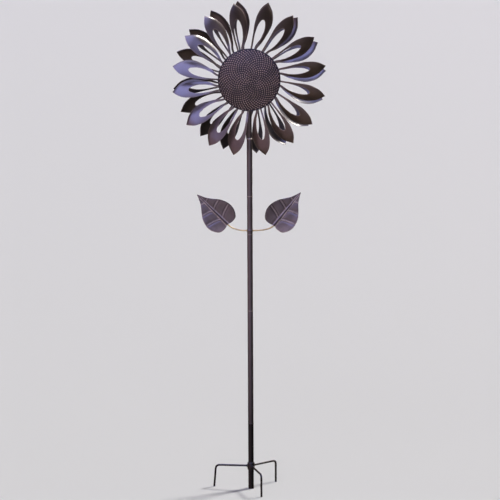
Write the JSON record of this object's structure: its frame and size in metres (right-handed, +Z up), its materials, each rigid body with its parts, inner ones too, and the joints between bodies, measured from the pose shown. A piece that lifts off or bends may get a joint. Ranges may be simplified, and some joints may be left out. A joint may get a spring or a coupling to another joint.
{
  "type": "kinetic wind sculpture",
  "caption": "Flower-shaped garden wind spinner: two looped-petal wheels turn opposite ways on one axle above a plug-together pole with leaves and a pronged stake.",
  "frame": {"origin": "on the pole's axis at the soil line, to which the stake is pushed in", "axes": "+Z up along the pole, the flower faces -Y, +X to the right seen from the front"},
  "size_m": [0.6058, 0.2536, 2.1518],
  "materials": {
    "bronze_coat": "satin bronze-brown powder coat",
    "petal_coat": "satin bronze-brown powder coat with a faint plum sheen",
    "leaf_coat": "satin bronze-brown powder coat, rubbed lighter on the veins",
    "seed_coat": "satin bronze-brown powder coat, rubbed lighter on the raised seeds",
    "stake_coat": "semi-gloss black powder coat",
    "zinc_steel": "bright zinc plate",
    "bearing_steel": "ground bearing steel"
  },
  "bodies": {
    "pole": {"stake_post": "stake_coat", "pole_lower": "bronze_coat", "pole_middle": "bronze_coat", "leaf_section": "bronze_coat", "pole_upper": "bronze_coat", "prong_collar": "stake_coat", "prong_left": "stake_coat", "prong_right": "stake_coat", "prong_front": "stake_coat", "leaf_stem_left": "bronze_coat", "leaf_stem_right": "bronze_coat", "leaf_left": "leaf_coat", "leaf_right": "leaf_coat"},
    "head": {"head_stem": "bronze_coat", "axle": "zinc_steel", "front_spacer": "zinc_steel", "rear_spacer": "zinc_steel", "front_nut": "zinc_steel", "rear_nut": "zinc_steel"},
    "front_wheel": {"front_hub": "bronze_coat", "front_bearing_inner": "bearing_steel", "front_bearing_outer": "bearing_steel", "front_plate": "bronze_coat", "seed_disc": "seed_coat", "front_petal_01": "petal_coat", "front_petal_02": "petal_coat", "front_petal_03": "petal_coat", "front_petal_04": "petal_coat", "front_petal_05": "petal_coat", "front_petal_06": "petal_coat", "front_petal_07": "petal_coat", "front_petal_08": "petal_coat", "front_petal_09": "petal_coat", "front_petal_10": "petal_coat", "front_petal_11": "petal_coat", "front_petal_12": "petal_coat", "front_petal_13": "petal_coat", "front_petal_14": "petal_coat", "front_petal_15": "petal_coat", "front_petal_16": "petal_coat"},
    "rear_wheel": {"rear_hub": "bronze_coat", "rear_bearing_inner": "bearing_steel", "rear_bearing_outer": "bearing_steel", "rear_plate": "bronze_coat", "rear_petal_01": "petal_coat", "rear_petal_02": "petal_coat", "rear_petal_03": "petal_coat", "rear_petal_04": "petal_coat", "rear_petal_05": "petal_coat", "rear_petal_06": "petal_coat", "rear_petal_07": "petal_coat", "rear_petal_08": "petal_coat", "rear_petal_09": "petal_coat", "rear_petal_10": "petal_coat", "rear_petal_11": "petal_coat", "rear_petal_12": "petal_coat", "rear_petal_13": "petal_coat", "rear_petal_14": "petal_coat", "rear_petal_15": "petal_coat", "rear_petal_16": "petal_coat"}
  },
  "joints": [
    {"name": "head_swivel", "type": "hinge", "parent": "pole", "child": "head", "pos_m": [0, 0, 1.42], "axis": [0, 0, 1], "continuous": true},
    {"name": "front_spin", "type": "hinge", "parent": "head", "child": "front_wheel", "pos_m": [0, -0.0632, 1.66], "axis": [0, 1, 0], "continuous": true},
    {"name": "rear_spin", "type": "hinge", "parent": "head", "child": "rear_wheel", "pos_m": [0, 0.0632, 1.66], "axis": [0, 1, 0], "continuous": true}
  ]
}
